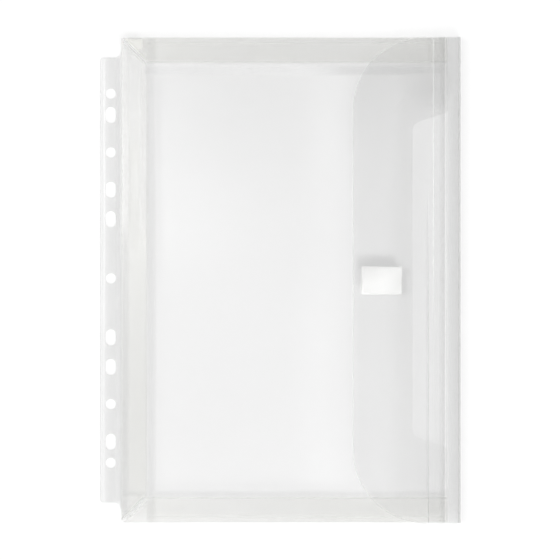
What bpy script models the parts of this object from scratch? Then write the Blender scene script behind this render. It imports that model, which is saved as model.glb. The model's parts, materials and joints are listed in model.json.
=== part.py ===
"""Expanding file wallet: clear film body, bellows gusset on three sides, punched binding strip
and a creased flap that closes with a hook-and-loop tab.

Metres, +Z up. The back panel lies on z = 0, the binding strip is at -X, the mouth and flap at +X.
Every leaf of film has its origin on the crease it turns about and hangs on the leaf before it.
"""
import math

import bmesh
import bpy
from mathutils import Matrix, Vector

# Driving dimensions of the body
BODY_WIDTH = 0.2200
BODY_HEIGHT = 0.3150
BODY_CORNER_RADIUS = 0.0015
FILM = 0.0003

# Driving dimensions of the binding strip and its ring holes
BINDING_WIDTH = 0.0137
BINDING_END_INSET = 0.0130
BINDING_CORNER_RADIUS = 0.0020
BINDING_FILLET = 0.0040
HOLE_DIAMETER = 0.0068
SLOT_LENGTH = 0.0106
HOLE_EDGE_DISTANCE = 0.0068
HOLE_END_MARGIN = 0.0050
HOLE_SHIFT = 0.0011
ROUND_HOLE_OFFSETS = (0.0, 0.0818, 0.1200)
SLOT_OFFSETS = (0.0384, 0.0576, 0.1062)

# Driving dimensions of the bellows: the fold angle is that of one leg from the flat
GUSSET_LEG = 0.0160
REST_FOLD = math.radians(7.0)
FULL_FOLD = math.radians(39.0)

# Driving dimensions of the thumb cut-out in the front panel
NOTCH_TAB_MARGIN = 0.0076
NOTCH_END_DISTANCE = 0.0483
NOTCH_SLANT = 0.0076
NOTCH_INNER_RADIUS = 0.0060
NOTCH_OUTER_RADIUS = 0.0030

# Driving dimensions of the flap
FLAP_REACH = 0.0696
FLAP_CORNER_RADIUS = 0.0470
FLAP_BEND_RADIUS = 0.0010
CREASE_STRIP_WIDTH = 0.0032
SPINE_FULL_ANGLE = math.radians(83.2)

# Driving dimensions of the hook-and-loop closure
TAB_LENGTH = 0.0258
TAB_WIDTH = 0.0176
TAB_CORNER_RADIUS = 0.0010
TAB_THICKNESS = 0.0008
ADHESIVE_THICKNESS = 0.0002
ADHESIVE_INSET = 0.0004
TAB_FREE_EDGE_MARGIN = 0.0058
LOOP_SHIFT_X = -0.0006
LOOP_SHIFT_Y = -0.0006

# Clearances
FOLD_GAP = 0.0003
CREASE_HALF_GAP = 0.0003
FOLD_INSET = 0.0006
MITRE_GAP = 0.0003
SEAT_GAP = 0.0002
HOOK_GAP = 0.0005
FLAP_END_INSET = 0.0004
FLAP_SPARE_RISE = 0.0002
MOUTH_CLEARANCE = 0.0006

# How finely arcs and swings are stepped
ARC_STEPS = 12
SWING_STEPS = 32

# Places that follow from the sizes above
BODY_LEFT = (BINDING_WIDTH - BODY_WIDTH) / 2.0
BODY_RIGHT = (BINDING_WIDTH + BODY_WIDTH) / 2.0
FOLD_LEFT = BODY_LEFT + FOLD_INSET
FOLD_TOP = BODY_HEIGHT / 2.0 - FOLD_INSET
LAYER = FILM + FOLD_GAP
FIRST_FOLD_HEIGHT = FILM + FOLD_GAP / 2.0
TAB_STACK = 2.0 * SEAT_GAP + ADHESIVE_THICKNESS + TAB_THICKNESS
FLAP_STAND_OFF = 2.0 * TAB_STACK + HOOK_GAP


def pocket_height(fold):
    """Height between the bellows' two outer creases at a fold angle."""
    return 2.0 * GUSSET_LEG * math.sin(fold) + 2.0 * LAYER * math.cos(fold)


def pocket_rise(fold):
    """How far the front panel has risen from rest at a fold angle."""
    return pocket_height(fold) - pocket_height(REST_FOLD)


def mouth_setback():
    """How far the front panel stops short of the flap edge, so that the rising spine clears it."""
    reach = 0.0
    for step in range(1, SWING_STEPS + 1):
        share = step / SWING_STEPS
        rise = pocket_rise(REST_FOLD + (FULL_FOLD - REST_FOLD) * share)
        reach = max(reach, (rise - FLAP_STAND_OFF) / math.tan(SPINE_FULL_ANGLE * share))
    return reach + MOUTH_CLEARANCE + FILM + FLAP_BEND_RADIUS + CREASE_HALF_GAP


FRONT_UNDERSIDE = FIRST_FOLD_HEIGHT + pocket_height(REST_FOLD) + FOLD_GAP / 2.0
FLAP_HEIGHT = FRONT_UNDERSIDE + FILM + FLAP_STAND_OFF + FILM / 2.0
SPINE_WIDTH = (pocket_rise(FULL_FOLD) + FLAP_SPARE_RISE) / math.sin(SPINE_FULL_ANGLE)
MOUTH = BODY_RIGHT - mouth_setback()
FLAP_HALF_LENGTH = BODY_HEIGHT / 2.0 - FLAP_END_INSET
BINDING_HALF_LENGTH = BODY_HEIGHT / 2.0 - BINDING_END_INSET
HOOK_CENTRE = Vector((BODY_RIGHT - FLAP_REACH + TAB_FREE_EDGE_MARGIN + TAB_LENGTH / 2.0, 0.0))
LOOP_CENTRE = HOOK_CENTRE + Vector((LOOP_SHIFT_X, LOOP_SHIFT_Y))
NOTCH_EDGE = LOOP_CENTRE.x + TAB_LENGTH / 2.0 + NOTCH_TAB_MARGIN


def clear_scene():
    """Start from an empty scene."""
    for item in list(bpy.data.objects):
        bpy.data.objects.remove(item, do_unlink=True)


def plain_material(name, colour, roughness, alpha):
    """A Principled material with one colour."""
    material = bpy.data.materials.new(name)
    material.use_nodes = True
    shader = material.node_tree.nodes["Principled BSDF"]
    shader.inputs["Base Color"].default_value = (*colour, 1.0)
    shader.inputs["Roughness"].default_value = roughness
    shader.inputs["Metallic"].default_value = 0.0
    shader.inputs["Alpha"].default_value = alpha
    return material


def rounded_outline(corners):
    """Points of an outline given as (x, y, radius) corners, with an arc where the radius isn't 0."""
    points = []
    for index, (x, y, radius) in enumerate(corners):
        corner = Vector((x, y))
        if radius == 0.0:
            points.append(corner)
            continue
        before = Vector(corners[index - 1][:2])
        after = Vector(corners[(index + 1) % len(corners)][:2])
        to_before = (before - corner).normalized()
        to_after = (after - corner).normalized()
        half_angle = to_before.angle(to_after) / 2.0
        centre = corner + (to_before + to_after).normalized() * (radius / math.sin(half_angle))
        start = corner + to_before * (radius / math.tan(half_angle)) - centre
        end = corner + to_after * (radius / math.tan(half_angle)) - centre
        sweep = math.atan2(start.x * end.y - start.y * end.x, start.dot(end))
        for step in range(ARC_STEPS + 1):
            points.append(centre + Matrix.Rotation(sweep * step / ARC_STEPS, 2) @ start)
    return points


def prism(name, outlines, low, high):
    """A closed mesh for each outline in X and Y, extruded from z = low to z = high."""
    form = bmesh.new()
    for outline in outlines:
        ring = [form.verts.new((x, y, low)) for x, y in outline]
        base = form.faces.new(ring)
        extruded = bmesh.ops.extrude_face_region(form, geom=[base])
        moved = [item for item in extruded["geom"] if isinstance(item, bmesh.types.BMVert)]
        bmesh.ops.translate(form, vec=(0.0, 0.0, high - low), verts=moved)
    bmesh.ops.recalc_face_normals(form, faces=form.faces)
    mesh = bpy.data.meshes.new(name)
    form.to_mesh(mesh)
    form.free()
    mesh.shade_smooth()
    mesh.set_sharp_from_angle(angle=math.radians(30.0))
    return mesh


def piece(name, mesh, material, parent, place, turn=0.0):
    """An object with its origin at place in its parent's frame, turned about its own Y axis."""
    mesh.materials.append(material)
    item = bpy.data.objects.new(name, mesh)
    bpy.context.scene.collection.objects.link(item)
    item.parent = parent
    item.location = place
    item.rotation_euler = (0.0, turn, 0.0)
    return item


def fold_line(name, parent, place, heading):
    """An empty on an outer crease, with its X axis pointing into the pocket."""
    line = bpy.data.objects.new(name, None)
    bpy.context.scene.collection.objects.link(line)
    line.parent = parent
    line.location = place
    line.rotation_euler = (0.0, 0.0, heading)
    return line


def back_panel(material):
    """The sheet that lies on the table, cut short of the creases at both sides."""
    half = BODY_HEIGHT / 2.0
    right = BODY_RIGHT - FILM / 2.0 - CREASE_HALF_GAP
    outline = rounded_outline([
        (BODY_LEFT, -half, BODY_CORNER_RADIUS),
        (right, -half, 0.0),
        (right, half, 0.0),
        (BODY_LEFT, half, BODY_CORNER_RADIUS),
    ])
    return piece("back_panel", prism("back_panel", [outline], 0.0, FILM), material, None, (0.0, 0.0, 0.0))


def hole_outline(centre, length):
    """A round hole, or an oblong one where its length along Y is more than the diameter."""
    radius = HOLE_DIAMETER / 2.0
    reach = (length - HOLE_DIAMETER) / 2.0
    last = ARC_STEPS + 1 if reach > 0.0 else ARC_STEPS
    points = []
    for end, first in ((1.0, 0.0), (-1.0, math.pi)):
        for step in range(last):
            angle = first + math.pi * step / ARC_STEPS
            points.append((radius * math.cos(angle), centre + end * reach + radius * math.sin(angle)))
    return points


def ring_hole_cutter(parent):
    """The punches for all ring holes that the strip is long enough for, standing through the film."""
    outlines = []
    for offsets, length in ((ROUND_HOLE_OFFSETS, HOLE_DIAMETER), (SLOT_OFFSETS, SLOT_LENGTH)):
        room = BINDING_HALF_LENGTH - length / 2.0 - HOLE_END_MARGIN
        for centre in sorted({side * offset + HOLE_SHIFT for offset in offsets for side in (-1.0, 1.0)}):
            if abs(centre) <= room:
                outlines.append(hole_outline(centre, length))
    cutter = bpy.data.objects.new("ring_hole_cutter", prism("ring_hole_cutter", outlines, -FILM, FILM))
    bpy.context.scene.collection.objects.link(cutter)
    cutter.parent = parent
    cutter.location = (HOLE_EDGE_DISTANCE + CREASE_HALF_GAP - BINDING_WIDTH, 0.0, 0.0)
    cutter.hide_render = True
    cutter.display_type = "WIRE"
    return cutter


def binding_strip(parent, material):
    """The punched strip: it flexes about the body's left edge and flares into it with a fillet."""
    half = BINDING_HALF_LENGTH
    outer = CREASE_HALF_GAP - BINDING_WIDTH
    inner = -CREASE_HALF_GAP
    outline = rounded_outline([
        (outer, -half, BINDING_CORNER_RADIUS),
        (inner - BINDING_FILLET, -half, 0.0),
        *fillet_points(inner, -half),
        *reversed(fillet_points(inner, half)),
        (inner - BINDING_FILLET, half, 0.0),
        (outer, half, BINDING_CORNER_RADIUS),
    ])
    mesh = prism("binding_strip", [outline], -FILM / 2.0, FILM / 2.0)
    place = (BODY_LEFT - CREASE_HALF_GAP, 0.0, FILM / 2.0)
    strip = piece("binding_strip", mesh, material, parent, place)
    punch = strip.modifiers.new("ring_holes", "BOOLEAN")
    punch.operation = "DIFFERENCE"
    punch.solver = "EXACT"
    punch.object = ring_hole_cutter(strip)
    return strip


def fillet_points(inner, end):
    """The concave quarter arc from the strip's end line to the body's edge, as plain corners."""
    outward = math.copysign(1.0, end)
    corners = []
    for step in range(1, ARC_STEPS + 1):
        angle = math.pi / 2.0 * step / ARC_STEPS
        x = inner - BINDING_FILLET * (1.0 - math.sin(angle))
        y = end + outward * BINDING_FILLET * (1.0 - math.cos(angle))
        corners.append((x, y, 0.0))
    return corners


def gusset_leg(name, parent, material, place, turn, inward, low_end, high_end):
    """One leaf of the bellows. Its outer edge runs along the crease at distance 0, its inner edge at
    one leg's length. Each end is (y at the outer edge, slope of the end as it goes inward)."""
    outer = 0.0 if inward > 0.0 else -GUSSET_LEG
    inner = outer + GUSSET_LEG
    outline = [
        (outer, low_end[0]),
        (inner, low_end[0] + low_end[1] * GUSSET_LEG),
        (inner, high_end[0] + high_end[1] * GUSSET_LEG),
        (outer, high_end[0]),
    ]
    mesh = prism(name, [outline], FOLD_GAP / 2.0, FOLD_GAP / 2.0 + FILM)
    return piece(name, mesh, material, parent, place, turn)


def gusset(side, parent, material, place, heading, low_end, high_end):
    """Both leaves of one side's bellows: the back leg rises, the front leg turns back over it."""
    line = fold_line(f"{side}_fold_line", parent, place, heading)
    back = gusset_leg(f"gusset_{side}_back", line, material, (0.0, 0.0, 0.0), -REST_FOLD, 1.0,
                      low_end, high_end)
    inner_crease = (GUSSET_LEG, 0.0, LAYER)
    return gusset_leg(f"gusset_{side}_front", back, material, inner_crease, 2.0 * REST_FOLD, -1.0,
                      low_end, high_end)


def front_panel(left_leg, material):
    """The front sheet, carried by the left bellows, with its long thumb cut-out at the mouth."""
    half = FOLD_TOP
    mouth = MOUTH - FOLD_LEFT
    notch = NOTCH_EDGE - FOLD_LEFT
    notch_outer = half - NOTCH_END_DISTANCE
    notch_inner = notch_outer - NOTCH_SLANT
    outline = rounded_outline([
        (0.0, -half, BODY_CORNER_RADIUS),
        (mouth, -half, 0.0),
        (mouth, -notch_outer, NOTCH_OUTER_RADIUS),
        (notch, -notch_inner, NOTCH_INNER_RADIUS),
        (notch, notch_inner, NOTCH_INNER_RADIUS),
        (mouth, notch_outer, NOTCH_OUTER_RADIUS),
        (mouth, half, 0.0),
        (0.0, half, BODY_CORNER_RADIUS),
    ])
    mesh = prism("front_panel", [outline], FOLD_GAP / 2.0, FOLD_GAP / 2.0 + FILM)
    return piece("front_panel", mesh, material, left_leg, (-GUSSET_LEG, 0.0, LAYER), -REST_FOLD)


def flap_edge(parent, material):
    """The wall at the right edge, bent over at its top into the flap."""
    axis_height = FILM / 2.0
    top = FLAP_HEIGHT - axis_height
    middle = [Vector((0.0, CREASE_HALF_GAP))]
    bend_centre = Vector((-FLAP_BEND_RADIUS, top - FLAP_BEND_RADIUS))
    for step in range(ARC_STEPS + 1):
        angle = math.pi / 2.0 * step / ARC_STEPS
        middle.append(bend_centre + FLAP_BEND_RADIUS * Vector((math.cos(angle), math.sin(angle))))
    normals = [Vector((1.0, 0.0))] + [(point - bend_centre).normalized() for point in middle[1:]]
    outside = [point + normal * FILM / 2.0 for point, normal in zip(middle, normals)]
    inside = [point - normal * FILM / 2.0 for point, normal in zip(middle, normals)]
    mesh = prism("flap_edge", [outside + inside[::-1]], -FLAP_HALF_LENGTH, FLAP_HALF_LENGTH)
    mesh.transform(Matrix.Rotation(math.radians(90.0), 4, "X"))
    return piece("flap_edge", mesh, material, parent, (BODY_RIGHT - axis_height, 0.0, axis_height))


def flap_strip(name, parent, material, place, width):
    """A full-length strip of the flap between two creases, running to -X from its own crease."""
    near = -CREASE_HALF_GAP
    far = CREASE_HALF_GAP - width
    outline = [
        (far, -FLAP_HALF_LENGTH),
        (near, -FLAP_HALF_LENGTH),
        (near, FLAP_HALF_LENGTH),
        (far, FLAP_HALF_LENGTH),
    ]
    mesh = prism(name, [outline], -FILM / 2.0, FILM / 2.0)
    return piece(name, mesh, material, parent, place)


def flap_panel(parent, material):
    """The closing flap, with its two large round corners at the free edge."""
    creases = FILM / 2.0 + FLAP_BEND_RADIUS + CREASE_HALF_GAP + SPINE_WIDTH + CREASE_STRIP_WIDTH
    length = FLAP_REACH - creases
    radius = min(FLAP_CORNER_RADIUS, length - 2.0 * CREASE_HALF_GAP)
    outline = rounded_outline([
        (-length, -FLAP_HALF_LENGTH, radius),
        (-CREASE_HALF_GAP, -FLAP_HALF_LENGTH, 0.0),
        (-CREASE_HALF_GAP, FLAP_HALF_LENGTH, 0.0),
        (-length, FLAP_HALF_LENGTH, radius),
    ])
    mesh = prism("flap_panel", [outline], -FILM / 2.0, FILM / 2.0)
    return piece("flap_panel", mesh, material, parent, (-CREASE_STRIP_WIDTH, 0.0, 0.0))


def flap(parent, material):
    """The flap's chain of leaves: edge wall, spine, narrow crease strip and closing panel."""
    edge = flap_edge(parent, material)
    spine_place = (-FLAP_BEND_RADIUS - CREASE_HALF_GAP, 0.0, FLAP_HEIGHT - FILM / 2.0)
    spine = flap_strip("flap_spine", edge, material, spine_place, SPINE_WIDTH)
    strip = flap_strip("flap_crease_strip", spine, material, (-SPINE_WIDTH, 0.0, 0.0), CREASE_STRIP_WIDTH)
    return flap_panel(strip, material)


def tab_layer(name, carrier, material, centre, low, thickness, inset):
    """A rounded rectangle of tape or adhesive, its centre and heights given in world places."""
    half_x = TAB_LENGTH / 2.0 - inset
    half_y = TAB_WIDTH / 2.0 - inset
    outline = rounded_outline([
        (-half_x, -half_y, TAB_CORNER_RADIUS),
        (half_x, -half_y, TAB_CORNER_RADIUS),
        (half_x, half_y, TAB_CORNER_RADIUS),
        (-half_x, half_y, TAB_CORNER_RADIUS),
    ])
    mesh = prism(name, [outline], 0.0, thickness)
    bpy.context.view_layer.update()
    place = carrier.matrix_world.inverted() @ Vector((*centre, low))
    return piece(name, mesh, material, carrier, place)


def closure(front, panel, tape, adhesive):
    """Loop tab on the front panel, hook tab under the flap, each on its own adhesive."""
    front_top = FRONT_UNDERSIDE + FILM
    flap_under = FLAP_HEIGHT - FILM / 2.0
    seat = SEAT_GAP + ADHESIVE_THICKNESS + SEAT_GAP
    tab_layer("loop_adhesive", front, adhesive, LOOP_CENTRE, front_top + SEAT_GAP,
              ADHESIVE_THICKNESS, ADHESIVE_INSET)
    tab_layer("loop_tab", front, tape, LOOP_CENTRE, front_top + seat, TAB_THICKNESS, 0.0)
    tab_layer("hook_adhesive", panel, adhesive, HOOK_CENTRE, flap_under - SEAT_GAP - ADHESIVE_THICKNESS,
              ADHESIVE_THICKNESS, ADHESIVE_INSET)
    tab_layer("hook_tab", panel, tape, HOOK_CENTRE, flap_under - seat - TAB_THICKNESS, TAB_THICKNESS, 0.0)


def build():
    """Put the wallet together, from the back panel outward."""
    clear_scene()
    body_film = plain_material("body_film", (0.93, 0.94, 0.93), 0.22, 0.35)
    gusset_film = plain_material("gusset_film", (0.92, 0.93, 0.90), 0.25, 0.40)
    binding_film = plain_material("binding_film", (0.91, 0.92, 0.91), 0.28, 0.45)
    tape = plain_material("hook_and_loop_tape", (0.90, 0.90, 0.90), 0.85, 1.0)
    adhesive = plain_material("clear_adhesive", (0.88, 0.88, 0.86), 0.50, 0.60)

    back = back_panel(body_film)
    binding_strip(back, binding_film)
    mitred_low = (MITRE_GAP - FOLD_TOP, 1.0)
    mitred_high = (FOLD_TOP - MITRE_GAP, -1.0)
    left_leg = gusset("left", back, gusset_film, (FOLD_LEFT, 0.0, FIRST_FOLD_HEIGHT), 0.0,
                      mitred_low, mitred_high)
    gusset("top", back, gusset_film, (0.0, FOLD_TOP, FIRST_FOLD_HEIGHT), math.radians(-90.0),
           (FOLD_LEFT + MITRE_GAP, 1.0), (MOUTH, 0.0))
    gusset("bottom", back, gusset_film, (0.0, -FOLD_TOP, FIRST_FOLD_HEIGHT), math.radians(90.0),
           (-MOUTH, 0.0), (-FOLD_LEFT - MITRE_GAP, -1.0))
    front = front_panel(left_leg, body_film)
    panel = flap(back, body_film)
    closure(front, panel, tape, adhesive)


build()
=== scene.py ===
"""Looks of the expanding file wallet: clear film leaves with scored creases, rolled folds, knurled weld
seams and a hook-and-loop closure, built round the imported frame.

Metres, +Z up. The back panel lies on z = 0, the binding strip is at -X, the flap closes from +X.
"""
import json
import math
import random

import bmesh
import bpy
from mathutils import Matrix, Vector


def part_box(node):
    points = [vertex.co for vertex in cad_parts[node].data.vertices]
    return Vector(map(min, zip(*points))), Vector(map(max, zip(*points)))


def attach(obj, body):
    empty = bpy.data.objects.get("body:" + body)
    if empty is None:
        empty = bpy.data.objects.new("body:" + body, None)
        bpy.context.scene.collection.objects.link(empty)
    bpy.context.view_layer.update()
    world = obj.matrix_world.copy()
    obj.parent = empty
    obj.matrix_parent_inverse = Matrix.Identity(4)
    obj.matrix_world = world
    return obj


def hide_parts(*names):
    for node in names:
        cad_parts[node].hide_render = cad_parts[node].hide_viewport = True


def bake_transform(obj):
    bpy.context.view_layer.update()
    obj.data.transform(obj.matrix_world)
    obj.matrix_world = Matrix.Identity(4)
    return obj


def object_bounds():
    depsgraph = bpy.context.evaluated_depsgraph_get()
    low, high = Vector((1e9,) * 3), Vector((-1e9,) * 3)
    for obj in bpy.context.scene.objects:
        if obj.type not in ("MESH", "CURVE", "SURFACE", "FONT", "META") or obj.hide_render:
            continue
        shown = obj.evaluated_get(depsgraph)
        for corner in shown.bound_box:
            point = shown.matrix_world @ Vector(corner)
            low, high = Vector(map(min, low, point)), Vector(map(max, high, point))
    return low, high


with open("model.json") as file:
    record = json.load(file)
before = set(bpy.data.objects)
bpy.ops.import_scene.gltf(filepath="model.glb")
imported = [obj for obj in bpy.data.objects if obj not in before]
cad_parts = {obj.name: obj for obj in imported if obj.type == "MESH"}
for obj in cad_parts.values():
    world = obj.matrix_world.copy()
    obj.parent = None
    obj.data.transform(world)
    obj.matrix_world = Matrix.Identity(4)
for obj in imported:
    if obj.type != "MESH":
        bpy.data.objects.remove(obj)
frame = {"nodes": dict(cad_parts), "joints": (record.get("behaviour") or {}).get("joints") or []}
cad_low, cad_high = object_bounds()
JOINTS = {row["name"]: row for row in frame["joints"]}
FRONT_LOW, FRONT_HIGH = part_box("front_panel")
FLAP_LOW, FLAP_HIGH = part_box("flap_panel")
STRIP_LOW, STRIP_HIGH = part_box("binding_strip")
LOOP_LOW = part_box("loop_tab")[0]
HOOK_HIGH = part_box("hook_tab")[1]
INNER_LEFT = JOINTS["left_inner_fold"]["pos_m"][0]
INNER_TOP = JOINTS["top_inner_fold"]["pos_m"][1]
LEG_FOLD = JOINTS["front_fold"]["pos_m"][0]

# Framing of the photograph, which looks straight down
FRAME_WIDTH = 0.3643
LENS = 135.0
SENSOR = 36.0

# Studio light: a tent with an opening in its roof, a large softbox below the picture, and a smaller one
# and a mirrored panel at its left. The tent's walls are dimmer than the floor, so that clear film shows
# against it from the sides
ROOF_LIGHT = (0.18, 1.80)
WALL_LIGHT = (0.28, 0.60)
ROOF_RISE = (0.68, 0.85)
HORIZON_RISE = (0.06, 0.22)
OPENING_LIGHT = 0.22
OPENING_PLACE = (0.06, 0.10, 0.0)
OPENING_INNER = 0.16
OPENING_OUTER = 0.42
BRIGHT_SIDE = (-0.55, -0.83, 0.0)
ROOF_SIDES = (-0.35, 0.60)
WALL_SIDES = (-0.60, 0.60)
SOFTBOX_PLACE = (1.2, -2.4, 3.0)
SOFTBOX_SIZE = (1.8, 1.2)
SOFTBOX_POWER = 73.0
FILL_PLACE = (-1.5, 0.5, 2.4)
FILL_SIZE = (1.0, 1.0)
FILL_POWER = 16.0
SIDE_PANEL_PLACE = (-0.56, 0.16, 1.70)
SIDE_PANEL_SIZE = (0.25, 0.45)
SIDE_PANEL_POWER = 2.0
FLOOR_WHITE = 0.97
FLOOR_GLOW = 0.45
FLOOR_DROP = 0.0004
FLOOR_HALF = 4.0
CLEAR_BOUNCES = 96

# Mesh making: how close points are one point, how a face's normal shows which way it lies, and grid sizes
SAME_PLACE = 1e-6
FACES_UP = 0.9
FACES_SIDEWAYS = 0.1
FLAT_ANGLE = math.radians(0.5)
SHARP_ANGLE = math.radians(40.0)
GRID = 0.0045
STRIP_GRID = 0.0006

# Film, rolled folds and scored creases
FILM = FRONT_HIGH.z - FRONT_LOW.z
FOLD_INNER_RADIUS = 0.00015
FOLD_OUTER_RADIUS = FOLD_INNER_RADIUS + FILM
FOLD_STEPS = 14
FOLD_END_INSET = 0.0006
REST_FOLD = math.radians(7.0)
FULL_SWING = math.radians(JOINTS["expand"]["range_deg"][1])
CREASE_HALF_WIDTH = 0.0003
CREASE_WEB = 0.00014
CREASE_STEPS = 10
SCORE_PLACE = cad_high.x - 0.0107
SCORE_DEPTH = 0.00022
SCORE_HALF_WIDTH = 0.0007

# Shape of the front sheet, the flap and the binding strip. A wave is its turn along X and Y, in radians per
# metre, and its phase
SAG = 0.0022
SAG_STEP = 0.0095
SAG_CUTS = 8
SAG_RETURN = 0.045
RIPPLE = 0.0004
LONG_WAVE = (34.0, 21.0, 0.6)
SHORT_WAVE = (-23.0, 58.0, 0.0)
SHORT_WAVE_SHARE = 0.6
FLAP_DROOP = 0.0017
DROOP_START = 0.008
DROOP_LENGTH = 0.075
STRIP_CAMBER = 0.0006
STRIP_CURL = 0.0028

# Cut edges
EDGE_RADIUS = 0.00022
EDGE_SIDES = 8
EDGE_STOP = 0.0010

# Weld seams
RIB_PITCH = 0.00075
RIB_STEPS = 4
RIB_HEIGHT = 0.00014
RIB_TOP_SHARE = 0.8
WELD_FLOOR = 0.00004
WELD_WIDTH = 0.0030
WELD_INSET = 0.0003
WELD_STOP = 0.0045
END_WELD_WIDTH = 0.0016
END_WELD_INSET = 0.0034
END_WELD_STOP = 0.0040

# Rims of the ring holes, and the creased ridges of the bellows and the spine
HOLE_RIM = 0.00016
RIDGE_HEIGHT = 0.00012
MITRE_HALF_WIDTH = 0.0007
MITRE_INSET = 1.5 * MITRE_HALF_WIDTH
MITRE_SHARES = (0.08, 0.5, 0.92)
MITRE_SLANT = 0.5
FOLD_RIDGE_OFFSET = 0.0004
FOLD_RIDGE_HALF_WIDTH = 0.0004
SCORE_RIDGE_OFFSET = 0.0013
SCORE_RIDGE_HALF_WIDTH = 0.0004
SCORE_RIDGE_SHARES = (-0.99, 0.0, 0.99)

# The pleat of film tucked into the bellows' upper left corner, pale as a painted highlight on the fold
PLEAT_FILM = 0.0001
PLEAT_LIFT = 0.0001
PLEAT_CORNERS = ((0.0030, 0.0010), (0.0134, 0.0010), (0.0134, 0.0066), (0.0100, 0.0080))

# Film: the share of light that one face reflects head on and how it grows at a slant, the roughness of its
# gloss and its haze, its orange-peel skin and the clouds in its haze. Noise scales are in features per metre
FILM_GLOSS = 0.04
QUIET_GLOSS = 0.008
GLUE_GLOSS = 0.004
SLANT_GAIN = 17.5
SLANT_POWER = 5.0
FILM_ROUGHNESS = 0.22
EDGE_ROUGHNESS = 0.18
GLUE_ROUGHNESS = 0.45
GLOSS_SPREAD = 0.04
HAZE_ROUGHER = (0.1, 0.2)
SKIN_SCALE = 2200.0
SKIN_DETAIL = 2.0
SKIN_STRENGTH = 0.25
SKIN_DEPTH = 0.00004
SMOOTH_SKIN = 0.00001
CLOUD_SCALE = 16.0
CLOUD_DETAIL = 3.0
CLOUD_DARKENING = 0.88
HAZE_SPREAD = (0.75, 1.25)
NOISE_RANGE = (0.3, 0.7)
CLEAR_TONE = (0.62, 0.63, 0.61)
GUSSET_TONE = (0.70, 0.71, 0.42)
# Darker grey of the creases: painted shade along them
CREASE_SHADE_TONE = (0.45, 0.455, 0.44)


def patch(amount, *ramps):
    """A place of painted light and shade: how much haze it adds, and the ramps that bound it, each an axis
    and where it is clear and where it is at full strength."""
    return amount, ramps


def stripe(amount, axis, origin, rise, fall, *limits):
    """Painted light and shade across an axis, rising and falling between places measured from an origin."""
    rising_edge = (axis, origin + rise[0], origin + rise[1])
    falling_edge = (axis, origin + fall[1], origin + fall[0])
    return patch(amount, rising_edge, falling_edge, *limits)


# Places where shade is painted into the film in grey and highlights in white, in metres. A painted place
# takes the painted tone as soon as it has any haze to speak of
PAINTED_SHADE_TONE = (0.34, 0.345, 0.335)
PAINTED_HIGHLIGHT_TONE = (0.96, 0.96, 0.95)
PAINTED_TONE_GAIN = 20.0
BELOW_TOP_FOLD = ("Y", INNER_TOP + 0.002, INNER_TOP - 0.002)
ABOVE_BOTTOM_FOLD = ("Y", -INNER_TOP - 0.002, -INNER_TOP + 0.002)
INSIDE_LEFT_FOLD = ("X", INNER_LEFT - 0.002, INNER_LEFT + 0.002)
UPPER_PART = ("Y", 0.022, 0.048)
LOWER_PART = ("Y", 0.042, 0.022)
# Painted shade on the front sheet: darker just inside the left and bottom inner folds, in a band below the
# top fold, in the top right corner, and a little towards the top
FRONT_PAINTED_SHADE = (
    stripe(0.06, "X", INNER_LEFT, (-0.0012, 0.0025), (0.0035, 0.0080)),
    stripe(0.035, "Y", -INNER_TOP, (0.0004, 0.0018), (0.0024, 0.0060)),
    stripe(0.090, "Y", INNER_TOP, (-0.0112, -0.0060), (-0.0042, -0.0005), INSIDE_LEFT_FOLD),
    patch(0.065, ("X", 0.055, 0.100), ("Y", 0.095, 0.125), BELOW_TOP_FOLD),
    patch(0.028, ("Y", 0.030, 0.130), BELOW_TOP_FOLD, INSIDE_LEFT_FOLD),
)
# Painted shade on the flap: darker towards the top, towards its right side, and along its right edge low
# down
FLAP_PAINTED_SHADE = (
    patch(0.03, ("Y", 0.060, 0.140), BELOW_TOP_FOLD),
    patch(0.032, ("X", 0.066, 0.082), BELOW_TOP_FOLD, ABOVE_BOTTOM_FOLD),
    patch(0.075, ("X", FLAP_HIGH.x - 0.0028, FLAP_HIGH.x), ("Y", 0.090, 0.020), ABOVE_BOTTOM_FOLD),
)
# Painted shade on the spine: darker towards the right edge, up to the scored line, in its top corner past
# the score, and slightly towards the right over its whole width
SPINE_PAINTED_SHADE = (
    patch(0.12, ("X", cad_high.x - 0.014, cad_high.x)),
    stripe(0.11, "X", SCORE_PLACE, (-0.0055, 0.0), (0.0, 0.0008)),
    patch(0.10, ("X", SCORE_PLACE, SCORE_PLACE + 0.0030), ("Y", 0.095, 0.130)),
    patch(0.03, ("X", 0.000, 0.090)),
)
# Painted highlights on the left front leg: two pale stripes beside its fold in the upper part, and paler
# towards the top
LEG_PAINTED_HIGHLIGHTS = (
    stripe(0.20, "X", LEG_FOLD, (-0.0002, 0.0008), (0.0030, 0.0060), UPPER_PART),
    stripe(0.20, "X", LEG_FOLD, (0.0100, 0.0135), (0.0145, 0.0160), UPPER_PART),
    patch(0.10, ("Y", 0.070, 0.115)),
)
# Painted shade on the left back leg: darker near its fold low down, a little darker over its lower part, and
# a faint band beside its fold in the middle of its height
LEG_PAINTED_SHADE = (
    patch(0.08, ("X", LEG_FOLD + 0.0075, LEG_FOLD + 0.0010), LOWER_PART),
    patch(0.02, LOWER_PART),
    stripe(0.035, "X", LEG_FOLD, (0.0030, 0.0055), (0.0100, 0.0125),
           ("Y", 0.000, 0.030), ("Y", 0.120, 0.080)),
)
# Painted highlight on the upper half of the first crease; painted shade on the lower half of the second
# crease and of the binding strip's flex line
UPPER_HALF_PAINTED_HIGHLIGHT = (patch(0.12, ("Y", -0.045, 0.015)),)
LOWER_HALF_PAINTED_SHADE = (patch(0.10, ("Y", 0.045, -0.015)),)
# Painted shade on the binding strip: darker from its outer edge inwards, fading again next to its inner
# edge, and darker along its outer edge
STRIP_PAINTED_SHADE = (
    patch(0.07, ("X", STRIP_LOW.x - 0.0010, STRIP_HIGH.x - 0.0055),
          ("X", STRIP_HIGH.x - 0.0020, STRIP_HIGH.x - 0.0040)),
    patch(0.03, ("X", STRIP_LOW.x + 0.0040, STRIP_LOW.x + 0.0015)),
)

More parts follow.
